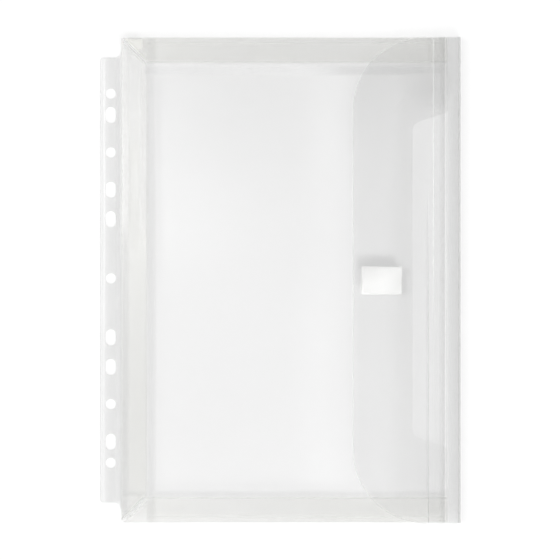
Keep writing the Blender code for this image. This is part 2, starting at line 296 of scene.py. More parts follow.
# Closure: the tapes' weave and nap, and their hooks and loops. A wave texture's bands are WAVE_UNIT apart at
# a scale of 1
HOOK_TONE = (0.98, 0.98, 0.975)
LOOP_TONE = (0.95, 0.95, 0.945)
TAPE_DARKENING = 0.96
TAPE_CLOUD_SCALE = 220.0
TAPE_ROUGHNESS = (0.75, 0.9)
TAPE_SHEEN = 0.2
WAVE_UNIT = 0.314
WEAVE_PITCH = 0.0013
WEAVE_STRENGTH = 0.2
WEAVE_DEPTH = 0.00006
WEAVE_DISTORTION = 0.6
WEAVE_DETAIL_SCALE = 40.0
HOOK_PITCH = 0.0011
HOOK_HEIGHT = 0.00028
HOOK_STEPS = 5
LOOP_HEIGHT = 0.00011
LOOP_SPAN = 0.0005
LOOP_COUNT = 620
LOOP_STEPS = 5
THREAD = 0.00004
TAPE_EDGE = 0.00012
SEED = 11


def add(tree, kind, values=None):
    """A node with inputs set by name: a socket is linked, anything else is set on the input."""
    node = tree.nodes.new(kind)
    for key, value in (values or {}).items():
        if isinstance(value, bpy.types.NodeSocket):
            tree.links.new(value, node.inputs[key])
        else:
            node.inputs[key].default_value = value
    return node


def maths(tree, operation, first, second):
    """The output of a Math node on two sockets or numbers."""
    node = add(tree, "ShaderNodeMath", {0: first, 1: second})
    node.operation = operation
    return node.outputs["Value"]


def rising(tree, value, places, low, high):
    """A number that goes smoothly from low to high, numbers or sockets, as a value passes two places."""
    node = add(tree, "ShaderNodeMapRange", {
        "Value": value, "From Min": places[0], "From Max": places[1], "To Min": low, "To Max": high})
    node.interpolation_type = "SMOOTHSTEP"
    return node.outputs["Result"]


def vector_maths(tree, operation, first, second):
    """A Vector Math node on two sockets or vectors."""
    node = add(tree, "ShaderNodeVectorMath", {0: first, 1: second})
    node.operation = operation
    return node


def between(tree, factor, low, high):
    """A number that goes from low to high as a noise factor goes through its usual range."""
    node = add(tree, "ShaderNodeMapRange", {
        "Value": factor, "From Min": NOISE_RANGE[0], "From Max": NOISE_RANGE[1],
        "To Min": low, "To Max": high})
    return node.outputs["Result"]


def mixed_colour(tree, factor, low, high):
    """A colour that goes from low, a colour or a socket, to the colour high with a factor."""
    node = tree.nodes.new("ShaderNodeMix")
    node.data_type = "RGBA"
    first, second = (socket for socket in node.inputs if socket.type == "RGBA")
    tree.links.new(factor, node.inputs["Factor"])
    if isinstance(low, bpy.types.NodeSocket):
        tree.links.new(low, first)
    else:
        first.default_value = (*low, 1.0)
    second.default_value = (*high, 1.0)
    return next(socket for socket in node.outputs if socket.type == "RGBA")


def start_material(name):
    """An empty node material and its output's surface socket."""
    material = bpy.data.materials.new(name)
    material.use_nodes = True
    tree = material.node_tree
    tree.nodes.clear()
    output = tree.nodes.new("ShaderNodeOutputMaterial")
    return material, tree, output.inputs["Surface"]


def noise(tree, scale, detail):
    """Noise over a piece's own coordinates, in features per metre."""
    place = add(tree, "ShaderNodeTexCoord").outputs["Object"]
    node = add(tree, "ShaderNodeTexNoise", {"Vector": place, "Scale": scale, "Detail": detail})
    return node.outputs["Fac"]


def bump(tree, strength, depth, height):
    """The normal of a surface roughened by a height, with its depth in metres."""
    node = add(tree, "ShaderNodeBump", {"Strength": strength, "Distance": depth, "Height": height})
    return node.outputs["Normal"]


def ramp(tree, axis, clear, full):
    """A factor from 0 to 1 between two places along one of the piece's own axes."""
    place = add(tree, "ShaderNodeTexCoord").outputs["Object"]
    along = add(tree, "ShaderNodeSeparateXYZ", {"Vector": place}).outputs[axis]
    return rising(tree, along, (clear, full), 0.0, 1.0)


def painted_amount(tree, places):
    """How much light and shade is painted into the film: the most that any of its painted places gives."""
    most = 0.0
    for amount, ramps in places:
        level = amount
        for axis, clear, full in ramps:
            level = maths(tree, "MULTIPLY", ramp(tree, axis, clear, full), level)
        most = maths(tree, "MAXIMUM", level, most)
    return most


def slanted_share(tree, gloss):
    """The share of light that a face reflects: gloss head on, and more at a slant."""
    slant = add(tree, "ShaderNodeLayerWeight", {"Blend": 0.5}).outputs["Facing"]
    grazing = maths(tree, "POWER", slant, SLANT_POWER)
    return maths(tree, "ADD", maths(tree, "MULTIPLY", grazing, SLANT_GAIN * gloss), gloss)


def film_material(name, tone, haze, painted_places=(), painted_tone=PAINTED_SHADE_TONE, gloss=FILM_GLOSS,
                  roughness=FILM_ROUGHNESS, skin_depth=SKIN_DEPTH):
    """Clear film: see-through, with a little haze, an orange-peel skin and a gloss that grows at a slant."""
    material, tree, surface = start_material(name)
    cloud = noise(tree, CLOUD_SCALE, CLOUD_DETAIL)
    skin = bump(tree, SKIN_STRENGTH, skin_depth, noise(tree, SKIN_SCALE, SKIN_DETAIL))
    dark = tuple(CLOUD_DARKENING * part for part in tone)
    colour = mixed_colour(tree, cloud, dark, tone)
    cover = between(tree, cloud, HAZE_SPREAD[0] * haze, HAZE_SPREAD[1] * haze)
    # Painted light and shade: the painted places add haze, and it takes the painted tone
    if painted_places:
        added = painted_amount(tree, painted_places)
        share = maths(tree, "MINIMUM", maths(tree, "MULTIPLY", added, PAINTED_TONE_GAIN), 1.0)
        colour = mixed_colour(tree, share, colour, painted_tone)
        cover = maths(tree, "ADD", cover, added)
    body = add(tree, "ShaderNodeBsdfPrincipled", {
        "Base Color": colour,
        "Roughness": between(tree, cloud, roughness + HAZE_ROUGHER[0], roughness + HAZE_ROUGHER[1]),
        "Normal": skin,
    })
    clear = add(tree, "ShaderNodeBsdfTransparent", {"Color": (1.0, 1.0, 1.0, 1.0)})
    film = add(tree, "ShaderNodeMixShader", {
        0: cover,
        1: clear.outputs["BSDF"],
        2: body.outputs["BSDF"],
    })
    shine = add(tree, "ShaderNodeBsdfGlossy", {
        "Color": (1.0, 1.0, 1.0, 1.0),
        "Roughness": between(tree, cloud, roughness, roughness + GLOSS_SPREAD),
        "Normal": skin,
    })
    skinned = add(tree, "ShaderNodeMixShader", {
        0: slanted_share(tree, gloss),
        1: film.outputs["Shader"],
        2: shine.outputs["BSDF"],
    })
    tree.links.new(skinned.outputs["Shader"], surface)
    return material


def tape_material(name, tone):
    """Woven nylon tape: fine ribs across it, slight clouding and a soft nap."""
    material, tree, surface = start_material(name)
    place = add(tree, "ShaderNodeTexCoord").outputs["Object"]
    weave = add(tree, "ShaderNodeTexWave", {
        "Vector": place, "Scale": WAVE_UNIT / WEAVE_PITCH, "Distortion": WEAVE_DISTORTION, "Detail": 1.0,
        "Detail Scale": WEAVE_DETAIL_SCALE}).outputs["Fac"]
    cloud = noise(tree, TAPE_CLOUD_SCALE, CLOUD_DETAIL)
    dark = tuple(TAPE_DARKENING * part for part in tone)
    body = add(tree, "ShaderNodeBsdfPrincipled", {
        "Base Color": mixed_colour(tree, cloud, dark, tone),
        "Roughness": between(tree, cloud, *TAPE_ROUGHNESS),
        "Sheen Weight": TAPE_SHEEN,
        "Normal": bump(tree, WEAVE_STRENGTH, WEAVE_DEPTH, weave),
    })
    tree.links.new(body.outputs["BSDF"], surface)
    return material


def floor_material():
    """White to the eye and in reflections, but still taking the shadow."""
    material, tree, surface = start_material("studio_floor")
    rays = add(tree, "ShaderNodeLightPath").outputs
    seen = maths(tree, "MAXIMUM", rays["Is Camera Ray"],
                 maths(tree, "MAXIMUM", rays["Is Glossy Ray"], rays["Is Transmission Ray"]))
    paper = add(tree, "ShaderNodeBsdfDiffuse", {"Color": (FLOOR_WHITE, FLOOR_WHITE, FLOOR_WHITE, 1.0)})
    white = add(tree, "ShaderNodeEmission", {"Color": (1.0, 1.0, 1.0, 1.0), "Strength": 1.0})
    shown = add(tree, "ShaderNodeMixShader", {
        0: maths(tree, "MULTIPLY", seen, FLOOR_GLOW),
        1: paper.outputs["BSDF"],
        2: white.outputs["Emission"],
    })
    tree.links.new(shown.outputs["Shader"], surface)
    return material


def smooth(value):
    """Smoothstep from 0 to 1."""
    share = min(max(value, 0.0), 1.0)
    return share * share * (3.0 - 2.0 * share)


def shown_mesh(name, form, material):
    """An object made from a bmesh, smooth except at sharp edges."""
    bmesh.ops.recalc_face_normals(form, faces=form.faces)
    mesh = bpy.data.meshes.new(name)
    form.to_mesh(mesh)
    form.free()
    mesh.shade_smooth()
    mesh.set_sharp_from_angle(angle=SHARP_ANGLE)
    mesh.materials.append(material)
    item = bpy.data.objects.new(name, mesh)
    bpy.context.scene.collection.objects.link(item)
    return item


def sweep(form, rings, closed=False):
    """A skin through rings of points, capped at both ends or closed on itself."""
    made = [[form.verts.new(point) for point in ring] for ring in rings]
    following_rings = made[1:] + made[:1] if closed else made[1:]
    for before, after in zip(made, following_rings):
        for index in range(len(before)):
            following = (index + 1) % len(before)
            form.faces.new((before[index], before[following], after[following], after[index]))
    if not closed:
        form.faces.new(made[0][::-1])
        form.faces.new(made[-1])


def whole_leaf(node):
    """A bmesh of a CAD leaf with its triangles joined into flat faces."""
    form = bmesh.new()
    form.from_mesh(frame["nodes"][node].data)
    bmesh.ops.remove_doubles(form, verts=form.verts, dist=SAME_PLACE)
    bmesh.ops.dissolve_limit(form, angle_limit=FLAT_ANGLE, verts=form.verts, edges=form.edges)
    return form


def outline_of(node):
    """The top face's outline of a flat CAD leaf, in order."""
    form = whole_leaf(node)
    upper = [face for face in form.faces if face.normal.z > FACES_UP]
    top = max(upper, key=lambda face: face.calc_area())
    points = [corner.vert.co.copy() for corner in top.loops]
    form.free()
    return points


def run_of(outline, keep):
    """The stretch of a closed outline whose points keep() accepts, in order."""
    first = next(index for index, point in enumerate(outline)
                 if keep(point) and not keep(outline[index - 1]))
    turned = outline[first:] + outline[:first]
    return [point for point in turned if keep(point)]


def even_steps(low, high, size):
    """Places between low and high, about size apart."""
    count = max(1, round((high - low) / size))
    return [low + (high - low) * index / count for index in range(1, count)]


def shaped_leaf(name, node, material, lift, extra_cuts=()):
    """A CAD leaf cut into a grid and at extra places along an axis, with each point raised by what lift
    gives for its x, its y and whether it is on the upper face."""
    low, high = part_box(node)
    form = whole_leaf(node)
    cuts = [(x, 0) for x in even_steps(low.x, high.x, GRID)]
    cuts += [(y, 1) for y in even_steps(low.y, high.y, GRID)]
    for place, axis in (*cuts, *extra_cuts):
        normal = Vector((0.0, 0.0, 0.0))
        normal[axis] = 1.0
        everything = [*form.verts, *form.edges, *form.faces]
        bmesh.ops.bisect_plane(form, geom=everything, dist=SAME_PLACE,
                               plane_co=normal * place, plane_no=normal)
    middle = (low.z + high.z) / 2.0
    for vert in form.verts:
        vert.co.z += lift(vert.co.x, vert.co.y, vert.co.z > middle)
    item = shown_mesh(name, form, material)
    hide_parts(node)
    return item


def wave(x, y, terms):
    """The height of a wave of height 1, from its turn along X and Y and its phase."""
    along_x, along_y, phase = terms
    return math.sin(along_x * x + along_y * y + phase)


def front_lift(x, y, upper=True):
    """How far the front sheet hangs: it drops off the bellows' inner folds and rises again to the tab."""
    inward = smooth((x - INNER_LEFT - FOLD_OUTER_RADIUS) / SAG_STEP)
    inward *= smooth((INNER_TOP - FOLD_OUTER_RADIUS - abs(y)) / SAG_STEP)
    inward *= smooth((LOOP_LOW.x - x) / SAG_RETURN)
    ripple = wave(x, y, LONG_WAVE) + SHORT_WAVE_SHARE * wave(x, y, SHORT_WAVE)
    return inward * (RIPPLE * ripple - SAG)


def flap_lift(x, y, upper=True):
    """How far the flap's round corners droop towards the front sheet, away from the tab that holds it."""
    outward = smooth((FLAP_HIGH.x - x) / (FLAP_HIGH.x - FLAP_LOW.x))
    along = smooth((abs(y) - HOOK_HIGH.y - DROOP_START) / DROOP_LENGTH)
    return -FLAP_DROOP * outward * along


def strip_lift(x, y, upper=True):
    """The binding strip's slight camber, curling down to the table at both long edges."""
    return STRIP_CAMBER * smooth((x - STRIP_LOW.x) / STRIP_CURL) * smooth((STRIP_HIGH.x - x) / STRIP_CURL)


def spine_lift(x, y, upper=True):
    """The scored line along the spine, pressed in from above."""
    depth = 1.0 - min(abs(x - SCORE_PLACE) / SCORE_HALF_WIDTH, 1.0)
    return -SCORE_DEPTH * depth if upper else 0.0


def sag_cuts():
    """Where the front sheet is cut more finely, across its drop off the inner folds."""
    cuts = []
    for step in range(-1, SAG_CUTS + 2):
        inset = FOLD_OUTER_RADIUS + SAG_STEP * step / SAG_CUTS
        cuts += [(INNER_LEFT + inset, 0), (INNER_TOP - inset, 1), (inset - INNER_TOP, 1)]
    return cuts


def film_leaves(front_material, flap_material, spine_material, binding_material):
    """The leaves that take a new shape: front sheet, flap, spine and binding strip."""
    front = shaped_leaf("front_film", "front_panel", front_material, front_lift, sag_cuts())
    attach(front, "front")
    flap = shaped_leaf("flap_film", "flap_panel", flap_material, flap_lift)
    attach(flap, "flap")
    cuts = [(SCORE_PLACE + side * SCORE_HALF_WIDTH, 0) for side in (-1.0, 0.0, 1.0)]
    spine = shaped_leaf("spine_film", "flap_spine", spine_material, spine_lift, cuts)
    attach(spine, "spine")
    cuts = [(x, 0) for x in even_steps(STRIP_LOW.x, STRIP_HIGH.x, STRIP_GRID)]
    strip = shaped_leaf("binding_film", "binding_strip", binding_material, strip_lift, cuts)
    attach(strip, "binding")


def section_sweep(name, section, along, ends, material):
    """A straight piece with one cross-section, swept between two distances along a direction."""
    form = bmesh.new()
    sweep(form, [[point + along * end for point in section] for end in ends])
    return shown_mesh(name, form, material)


def fold_section(centre, start, bulge, turn):
    """The half-round section of a fold: film turning from direction start through bulge."""
    axis = start.cross(bulge)
    spokes = [Matrix.Rotation(turn * step / FOLD_STEPS, 3, axis) @ start for step in range(FOLD_STEPS + 1)]
    outside = [centre + spoke * FOLD_OUTER_RADIUS for spoke in spokes]
    inside = [centre + spoke * FOLD_INNER_RADIUS for spoke in spokes]
    return outside + inside[::-1], spokes[-1]


def rolled_fold(name, joint, bulge, start, turn, ends, material):
    """A rolled fold at a joint, between the joint's two leaves."""
    row = JOINTS[joint]
    centre = Vector(row["pos_m"])
    along = Vector(abs(part) for part in row["axis"])
    section, last = fold_section(centre, start, bulge, turn)
    item = section_sweep(name, section, along, ends, material)
    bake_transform(item)


def bellows_side(side, back_joint, inner_joint, outward, ends, inner_ends, material):
    """The back fold and the inner fold of one side of the bellows."""
    down = Vector((0.0, 0.0, -1.0))
    rolled_fold(f"{side}_back_fold", back_joint, outward, down, math.pi - REST_FOLD, ends, material)
    tilt = Matrix.Rotation(REST_FOLD, 3, down.cross(-outward))
    rolled_fold(f"{side}_inner_fold", inner_joint, tilt @ -outward, tilt @ down,
                math.pi - 2.0 * REST_FOLD, inner_ends, material)


def front_side_fold(side, back_joint, outward, along, ends, material):
    """The outer front fold of the top or bottom: it rides on the front sheet, short of the swinging leg."""
    up = Vector((0.0, 0.0, 1.0))
    below = Vector(JOINTS[back_joint]["pos_m"])
    centre = outward * below.dot(outward) + up * JOINTS["front_fold"]["pos_m"][2]
    section, _ = fold_section(centre, up, outward, math.pi - REST_FOLD - FULL_SWING)
    item = section_sweep(f"{side}_front_fold", section, along, ends, material)
    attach(item, "front")


def bellows(material):
    """Every rolled fold of the bellows."""
    left = Vector(JOINTS["expand"]["pos_m"])
    top = Vector(JOINTS["top_back_fold"]["pos_m"])
    left_inner = Vector(JOINTS["left_inner_fold"]["pos_m"])
    top_inner = Vector(JOINTS["top_inner_fold"]["pos_m"])
    tall = (FOLD_END_INSET - top.y, top.y - FOLD_END_INSET)
    tall_inner = (FOLD_END_INSET - top_inner.y, top_inner.y - FOLD_END_INSET)
    wide = (left.x + FOLD_END_INSET, FRONT_HIGH.x)
    wide_inner = (left_inner.x + FOLD_END_INSET, FRONT_HIGH.x)
    across = Vector((1.0, 0.0, 0.0))
    upward = Vector((0.0, 1.0, 0.0))
    bellows_side("left", "expand", "left_inner_fold", -across, tall, tall_inner, material)
    bellows_side("top", "top_back_fold", "top_inner_fold", upward, wide, wide_inner, material)
    bellows_side("bottom", "bottom_back_fold", "bottom_inner_fold", -upward, wide, wide_inner, material)
    tilt = Matrix.Rotation(REST_FOLD, 3, upward)
    rolled_fold("left_front_fold", "front_fold", -across, tilt @ Vector((0.0, 0.0, -1.0)),
                math.pi - REST_FOLD, tall, material)
    front_side_fold("top", "top_back_fold", upward, across, wide, material)
    front_side_fold("bottom", "bottom_back_fold", -upward, across, wide, material)


def crease_section(centre):
    """A flat crease's section across X: full film at both leaves, thinned to a web at the score."""
    upper = []
    lower = []
    for step in range(CREASE_STEPS + 1):
        share = 2.0 * step / CREASE_STEPS - 1.0
        half = (CREASE_WEB + (FILM - CREASE_WEB) * smooth(abs(share))) / 2.0
        x = centre.x + share * CREASE_HALF_WIDTH
        upper.append(Vector((x, 0.0, centre.z - FILM / 2.0 + 2.0 * half)))
        lower.append(Vector((x, 0.0, centre.z - FILM / 2.0)))
    return upper + lower[::-1]


def flat_crease(name, joint, half_length, material):
    """A scored crease, thinned to a web, between the two leaves of a flat hinge."""
    row = JOINTS[joint]
    centre = Vector(row["pos_m"])
    along = Vector((0.0, 1.0, 0.0))
    item = section_sweep(name, crease_section(centre), along, (-half_length, half_length), material)
    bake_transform(item)


def wall_corner(material):
    """The rounded turn where the back sheet rises into the flap's edge wall."""
    row = JOINTS["flap_open"]
    hinge = Vector(row["pos_m"])
    half_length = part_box("flap_edge")[1].y
    bend = hinge + Vector((-CREASE_HALF_WIDTH, 0.0, CREASE_HALF_WIDTH))
    outside = []
    inside = []
    for step in range(FOLD_STEPS + 1):
        angle = math.pi / 2.0 * (step / FOLD_STEPS - 1.0)
        spoke = Vector((math.cos(angle), 0.0, math.sin(angle)))
        outside.append(bend + spoke * (CREASE_HALF_WIDTH + FILM / 2.0))
        inside.append(bend + spoke * (CREASE_HALF_WIDTH - FILM / 2.0))
    item = section_sweep("wall_fold", outside + inside[::-1], Vector((0.0, 1.0, 0.0)),
                         (-half_length, half_length), material)
    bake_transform(item)


def creases(film, pressed, whitened, greyed):
    """The flap's creases, the turn at its wall and the binding strip's flex line."""
    half_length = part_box("flap_spine")[1].y
    # The crease films are darker grey as painted shade; the first has a painted highlight on its upper half,
    # the second and the flex line darker painted shade on their lower half
    flat_crease("spine_crease", "spine_fold", half_length, pressed)
    flat_crease("first_crease", "spine_crease", half_length, whitened)
    flat_crease("second_crease", "flap_lift", half_length, greyed)
    flat_crease("binding_crease", "strip_flex", STRIP_HIGH.y, greyed)
    wall_corner(film)


def bead(form, path, half_width, half_height, closed=False):
    """A thin bead, round or flattened, along a path of points."""
    up = Vector((0.0, 0.0, 1.0))
    last = len(path) - 1
    rings = []
    for index, point in enumerate(path):
        before = path[index - 1] if closed else path[max(index - 1, 0)]
        after = path[(index + 1) % len(path)] if closed else path[min(index + 1, last)]
        heading = (after - before).normalized()
        side = heading.cross(up).normalized()
        rise = side.cross(heading)
        ring = []
        for corner in range(EDGE_SIDES):
            angle = 2.0 * math.pi * corner / EDGE_SIDES
            ring.append(point + half_width * math.cos(angle) * side + half_height * math.sin(angle) * rise)
        rings.append(ring)
    sweep(form, rings, closed)


def cut_edge(name, node, keep, lift, body, material):
    """The rounded cut edge along part of a leaf's outline, at the leaf's own height."""
    low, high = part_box(node)
    middle = (low.z + high.z) / 2.0
    path = []
    points = run_of(outline_of(node), keep)
    for before, after in zip(points, points[1:]):
        count = max(1, round((after - before).length / GRID))
        path += [before.lerp(after, index / count) for index in range(count)]
    path.append(points[-1])
    placed = [Vector((point.x, point.y, middle + lift(point.x, point.y))) for point in path]
    form = bmesh.new()
    bead(form, placed, EDGE_RADIUS, EDGE_RADIUS)
    item = shown_mesh(name, form, material)
    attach(item, body)


def cut_edges(material):
    """The flap's free edge, which catches the light."""
    cut_edge("flap_cut_edge", "flap_panel", lambda point: point.x < FLAP_HIGH.x - EDGE_STOP,
             flap_lift, "flap", material)


def rims_of(node):
    """The upper rims of a flat CAD leaf, each in order round its centre, the outer one last."""
    form = whole_leaf(node)
    top = max(vert.co.z for vert in form.verts)
    walls = {face for face in form.faces if abs(face.normal.z) < FACES_SIDEWAYS}
    groups = []
    while walls:
        group = [walls.pop()]
        for face in group:
            beside = {other for edge in face.edges for other in edge.link_faces} & walls
            walls -= beside
            group += beside
        groups.append({vert for face in group for vert in face.verts})
    rims = []
    for group in groups:
        rim = [vert.co.copy() for vert in group if abs(vert.co.z - top) < SAME_PLACE]
        centre = sum(rim, Vector()) / len(rim)
        rim.sort(key=lambda point: math.atan2(point.y - centre.y, point.x - centre.x))
        rims.append(rim)
    form.free()
    return sorted(rims, key=lambda rim: max(point.y for point in rim) - min(point.y for point in rim))


def strip_edges(rim_material, edge_material):
    """The slightly raised rims that the punch left round the ring holes, and the strip's own cut edge."""
    *holes, outside = [[point + Vector((0.0, 0.0, strip_lift(point.x, point.y))) for point in rim]
                       for rim in rims_of("binding_strip")]
    free = run_of(outside, lambda point: point.x < STRIP_HIGH.x - EDGE_STOP)
    form = bmesh.new()
    for path in holes:
        bead(form, path, HOLE_RIM, HOLE_RIM, closed=True)
    rims = shown_mesh("ring_rims", form, rim_material)
    form = bmesh.new()
    bead(form, free, EDGE_RADIUS, EDGE_RADIUS)
    edge = shown_mesh("binding_cut_edge", form, edge_material)
    for item in (rims, edge):
        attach(item, "binding")


def mitre_ridges(material):
    """The creased edges at the bellows' mitred corners, one on each leaf that meets there."""
    for side in ("left", "top", "bottom"):
        for leg in ("back", "front"):
            form = bmesh.new()
            outline = outline_of(f"gusset_{side}_{leg}")
            middle = sum(outline, Vector()) / len(outline)
            for before, after in zip(outline, outline[1:] + outline[:1]):
                run = after - before
                if min(abs(run.x), abs(run.y)) < MITRE_SLANT * run.length:
                    continue
                inward = Vector((-run.y, run.x, 0.0)).normalized()
                inward *= math.copysign(MITRE_INSET, inward.dot(middle - before))
                path = [before.lerp(after, share) + inward for share in MITRE_SHARES]
                bead(form, path, MITRE_HALF_WIDTH, RIDGE_HEIGHT)
            item = shown_mesh(f"{side}_{leg}_mitre", form, material)
            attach(item, f"{side}_{leg}_leg")


def leg_height(node):
    """A function that gives the height of a sloping leaf's upper face at x and y."""
    outline = outline_of(node)
    across = outline[1] - outline[0]
    normal = max((across.cross(point - outline[0]) for point in outline[2:]), key=lambda part: part.length)
    slope = -normal.xy / normal.z
    return lambda x, y: outline[0].z + slope.dot(Vector((x, y)) - outline[0].xy)


def fold_ridges(material):
    """The pale ridge along the inner fold of the top and of the bottom, on the front leg: a painted
    highlight.
    """
    for side, sign in (("top", 1.0), ("bottom", -1.0)):
        height = leg_height(f"gusset_{side}_front")
        y = sign * (INNER_TOP + FOLD_RIDGE_OFFSET)
        ends = (INNER_LEFT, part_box(f"gusset_{side}_front")[1].x - FOLD_END_INSET)
        form = bmesh.new()
        bead(form, [Vector((x, y, height(x, y))) for x in ends], FOLD_RIDGE_HALF_WIDTH, RIDGE_HEIGHT)
        item = shown_mesh(f"{side}_fold_ridge", form, material)
        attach(item, f"{side}_front_leg")


def corner_pleat(material):
    """The pleat tucked on to the top front leg at its left corner; its pale film is a painted highlight."""
    height = leg_height("gusset_top_front")
    corner = Vector((LEG_FOLD, JOINTS["top_back_fold"]["pos_m"][1]))
    places = [corner + Vector((inward, -down)) for inward, down in PLEAT_CORNERS]
    rings = []
    for rise in (PLEAT_LIFT, PLEAT_LIFT + PLEAT_FILM):
        rings.append([Vector((place.x, place.y, height(place.x, place.y) + rise)) for place in places])
    form = bmesh.new()
    sweep(form, rings)
    item = shown_mesh("corner_pleat", form, material)
    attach(item, "top_front_leg")


def score_ridge(material):
    """The raised ridge beside the line scored into the spine."""
    spine_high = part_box("flap_spine")[1]
    x = SCORE_PLACE + SCORE_RIDGE_OFFSET
    path = [Vector((x, share * spine_high.y, spine_high.z)) for share in SCORE_RIDGE_SHARES]
    form = bmesh.new()
    bead(form, path, SCORE_RIDGE_HALF_WIDTH, RIDGE_HEIGHT)
    item = shown_mesh("score_ridge", form, material)
    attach(item, "spine")


def knurled_band(name, start, end, width, lift, body, material):
    """A weld seam: a thin band with fine ribs across it, lying on the film."""
    heading = (end - start).normalized()
    side = heading.cross(Vector((0.0, 0.0, 1.0))) * (width / 2.0)
    count = round((end - start).length / RIB_PITCH) * RIB_STEPS
    rings = []
    for step in range(count + 1):
        centre = start.lerp(end, step / count)
        rib = 0.5 - 0.5 * math.cos(2.0 * math.pi * step / RIB_STEPS)
        crest = WELD_FLOOR + RIB_HEIGHT * rib
        ring = []
        for share, rise in ((-1.0, 0.0), (1.0, 0.0), (RIB_TOP_SHARE, crest), (-RIB_TOP_SHARE, crest)):
            point = centre + share * side
            ring.append(point + Vector((0.0, 0.0, lift(point.x, point.y) + rise)))
        rings.append(ring)
    form = bmesh.new()
    sweep(form, rings)
    item = shown_mesh(name, form, material)
    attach(item, body)


def welds(material, end_material):
    """The knurled seams: along the binding strip's inner side and along the front sheet's two ends."""
    half = STRIP_HIGH.y - WELD_STOP
    x = STRIP_HIGH.x - WELD_WIDTH / 2.0 - WELD_INSET
    knurled_band("binding_weld", Vector((x, -half, STRIP_HIGH.z)), Vector((x, half, STRIP_HIGH.z)),
                 WELD_WIDTH, strip_lift, "binding", material)
    for side, name in ((1.0, "top_weld"), (-1.0, "bottom_weld")):
        y = side * (FRONT_HIGH.y - END_WELD_INSET)
        knurled_band(name, Vector((INNER_LEFT, y, FRONT_HIGH.z)),
                     Vector((FRONT_HIGH.x - END_WELD_STOP, y, FRONT_HIGH.z)),
                     END_WELD_WIDTH, front_lift, "front", end_material)


def tape_slab(form, node):
    """The tape itself, with softened edges."""
    low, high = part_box(node)
    centre = (low + high) / 2.0
    half = (high - low) / 2.0
    outline = outline_of(node)
    levels = ((low.z, TAPE_EDGE), (low.z + TAPE_EDGE, 0.0), (high.z - TAPE_EDGE, 0.0), (high.z, TAPE_EDGE))
    rings = []
    for z, inset in levels:
        scale_x = 1.0 - inset / half.x
        scale_y = 1.0 - inset / half.y
        rings.append([Vector((centre.x + (point.x - centre.x) * scale_x,
                              centre.y + (point.y - centre.y) * scale_y, z)) for point in outline])
    sweep(form, rings)


def thread(form, path, radius):
    """A thin square thread along a path, for hooks and loops."""
    rings = []
    for index, point in enumerate(path):
        heading = (path[min(index + 1, len(path) - 1)] - path[max(index - 1, 0)]).normalized()
        side = heading.orthogonal().normalized()
        other = heading.cross(side)
        rings.append([point + radius * spoke for spoke in (side, other, -side, -other)])
    sweep(form, rings)


def hook_tape(material):
    """The hook tab: tape with rows of small hooks on its underside."""
    low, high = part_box("hook_tab")
    form = bmesh.new()
    tape_slab(form, "hook_tab")
    columns = int((high.x - low.x - HOOK_PITCH) / HOOK_PITCH)
    rows = int((high.y - low.y - HOOK_PITCH) / HOOK_PITCH)
    bend = HOOK_HEIGHT / 2.0
    for column in range(columns + 1):
        for row in range(rows + 1):
            x = low.x + HOOK_PITCH / 2.0 + (high.x - low.x - HOOK_PITCH) * column / columns
            y = low.y + HOOK_PITCH / 2.0 + (high.y - low.y - HOOK_PITCH) * row / rows
            lean = 1.0 if (column + row) % 2 else -1.0
            path = [Vector((x, y, low.z + THREAD))]
            for step in range(HOOK_STEPS):
                angle = math.pi * step / HOOK_STEPS
                path.append(Vector((x + lean * bend * (1.0 - math.cos(angle)), y,
                                    low.z - HOOK_HEIGHT + THREAD + bend - bend * math.sin(angle))))
            thread(form, path, THREAD)
    item = shown_mesh("hook_tape", form, material)
    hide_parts("hook_tab")
    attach(item, "flap")


def loop_tape(material):
    """The loop tab: tape with a nap of small loops on its upper side."""
    low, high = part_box("loop_tab")
    form = bmesh.new()
    tape_slab(form, "loop_tab")
    draw = random.Random(SEED)
    for _ in range(LOOP_COUNT):
        x = draw.uniform(low.x + LOOP_SPAN, high.x - LOOP_SPAN)
        y = draw.uniform(low.y + LOOP_SPAN, high.y - LOOP_SPAN)
        turn = draw.uniform(0.0, math.pi)
        across = Vector((math.cos(turn), math.sin(turn), 0.0)) * (LOOP_SPAN / 2.0)
        path = []
        for step in range(LOOP_STEPS + 1):
            angle = math.pi * step / LOOP_STEPS
            rise = (LOOP_HEIGHT - THREAD) * math.sin(angle) - THREAD / 2.0
            path.append(Vector((x, y, high.z + rise)) - across * math.cos(angle))
        thread(form, path, THREAD)
    item = shown_mesh("loop_tape", form, material)
    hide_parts("loop_tab")
    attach(item, "front")


def carry_over(nodes, material):
    """Gives CAD nodes that keep their shape a finished material."""
    for name in nodes:
        node = frame["nodes"][name]
        node.data.materials.clear()
        node.data.materials.append(material)


def tent():
    """Soft light from all sides, most from the lower left, with a dark opening overhead for the lens."""
    world = bpy.data.worlds.new("studio")
    world.use_nodes = True
    tree = world.node_tree
    tree.nodes.clear()
    heading = add(tree, "ShaderNodeTexCoord").outputs["Generated"]
    height = add(tree, "ShaderNodeSeparateXYZ", {"Vector": heading}).outputs["Z"]
    flat = vector_maths(tree, "MULTIPLY", heading, (1.0, 1.0, 0.0)).outputs["Vector"]
    away = vector_maths(tree, "DISTANCE", flat, OPENING_PLACE).outputs["Value"]
    opening = rising(tree, away, (OPENING_INNER, OPENING_OUTER), OPENING_LIGHT, 1.0)
    side = vector_maths(tree, "DOT_PRODUCT", heading, BRIGHT_SIDE).outputs["Value"]
    cloth = rising(tree, side, ROOF_SIDES, *ROOF_LIGHT)
    roof = maths(tree, "MULTIPLY", opening, cloth)
    walls = rising(tree, side, WALL_SIDES, *WALL_LIGHT)
    upper = rising(tree, height, ROOF_RISE, walls, roof)
    level = rising(tree, height, HORIZON_RISE, 1.0, upper)
    light = add(tree, "ShaderNodeBackground", {"Color": (1.0, 1.0, 1.0, 1.0), "Strength": level})
    output = tree.nodes.new("ShaderNodeOutputWorld")
    tree.links.new(light.outputs["Background"], output.inputs["Surface"])
    return world


